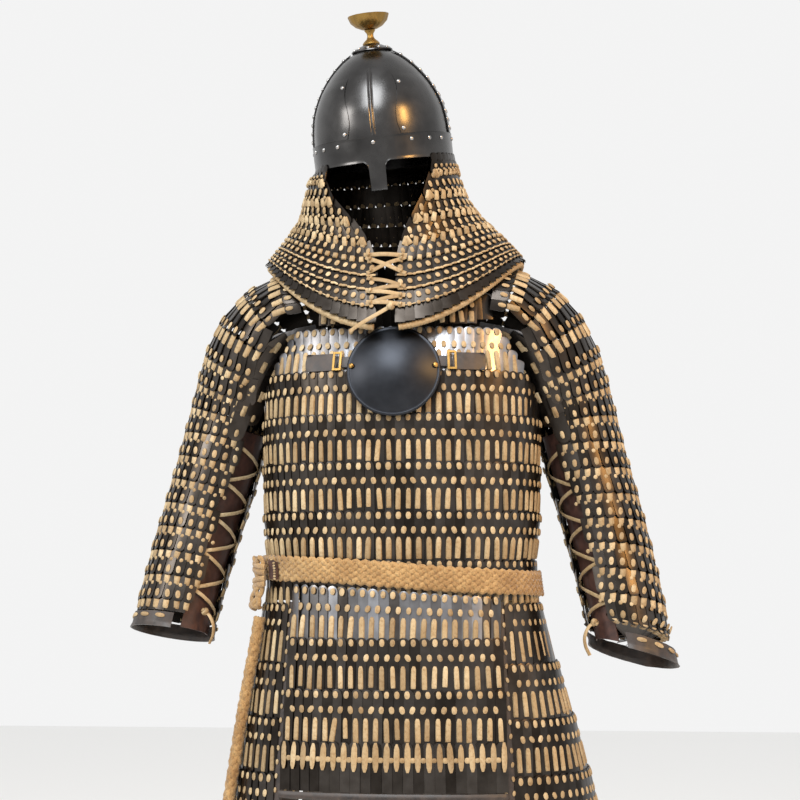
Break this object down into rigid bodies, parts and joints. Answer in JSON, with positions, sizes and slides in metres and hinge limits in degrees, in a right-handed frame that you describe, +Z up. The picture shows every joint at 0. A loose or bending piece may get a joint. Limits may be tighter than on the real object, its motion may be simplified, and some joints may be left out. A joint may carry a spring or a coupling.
{
  "type": "lamellar armour suit, worn, with helmet, aventail, cuirass, sleeves, belt and skirt",
  "caption": "Lamellar armour as worn: riveted helmet and aventail, laced cuirass with sleeves, breast disc, plaited belt and split skirt.",
  "frame": {"origin": "where the wearer carries it, at the base of the neck, level with the tops of the shoulders", "axes": "+Z up, -Y the front of the armour, +X the wearer's left"},
  "size_m": [0.7923, 0.337, 1.2464],
  "materials": {
    "lamellae": "satin steel lamellae, laced with rawhide thong",
    "steel": "polished dark steel",
    "blackened": "blackened hammered steel",
    "brass": "antique brass",
    "rawhide": "matt rawhide thong",
    "leather": "dark brown oiled leather",
    "rope": "plaited golden tan cord"
  },
  "bodies": {
    "root": {"cuirass_front": "lamellae", "cuirass_back": "lamellae", "shoulder_strap_left": "lamellae", "shoulder_strap_right": "lamellae", "shoulder_cap_left": "lamellae", "sleeve_left": "lamellae", "cuff_left": "leather", "sleeve_gusset_left": "leather", "sleeve_lace_left": "rawhide", "shoulder_cap_right": "lamellae", "sleeve_right": "lamellae", "cuff_right": "leather", "sleeve_gusset_right": "leather", "sleeve_lace_right": "rawhide", "sleeve_lace_end_left": "rawhide", "sleeve_lace_end_right": "rawhide", "aventail_left": "lamellae", "aventail_rim_left": "rawhide", "aventail_right": "lamellae", "aventail_rim_right": "rawhide", "aventail_lace": "rawhide", "aventail_lace_end": "rawhide", "helmet_skull_front": "steel", "helmet_skull_back": "steel", "helmet_side_band_left": "steel", "helmet_side_band_right": "steel", "helmet_brow_band": "steel", "helmet_cap": "steel", "finial_stem": "brass", "finial_cup": "brass", "breast_disc": "blackened", "disc_rivet_left": "brass", "disc_rivet_right": "brass", "disc_strap_left": "leather", "disc_tab_left": "leather", "disc_buckle_left": "brass", "disc_strap_right": "leather", "disc_tab_right": "leather", "disc_buckle_right": "brass", "belt": "rope", "belt_eye": "leather", "belt_loop": "rope", "belt_tail": "rope", "belt_tassel": "rope", "skirt_left": "lamellae", "skirt_binding_left": "leather", "skirt_right": "lamellae", "skirt_binding_right": "leather", "skirt_back": "lamellae", "skirt_flap": "lamellae", "skirt_flap_edge": "leather"}
  },
  "joints": []
}
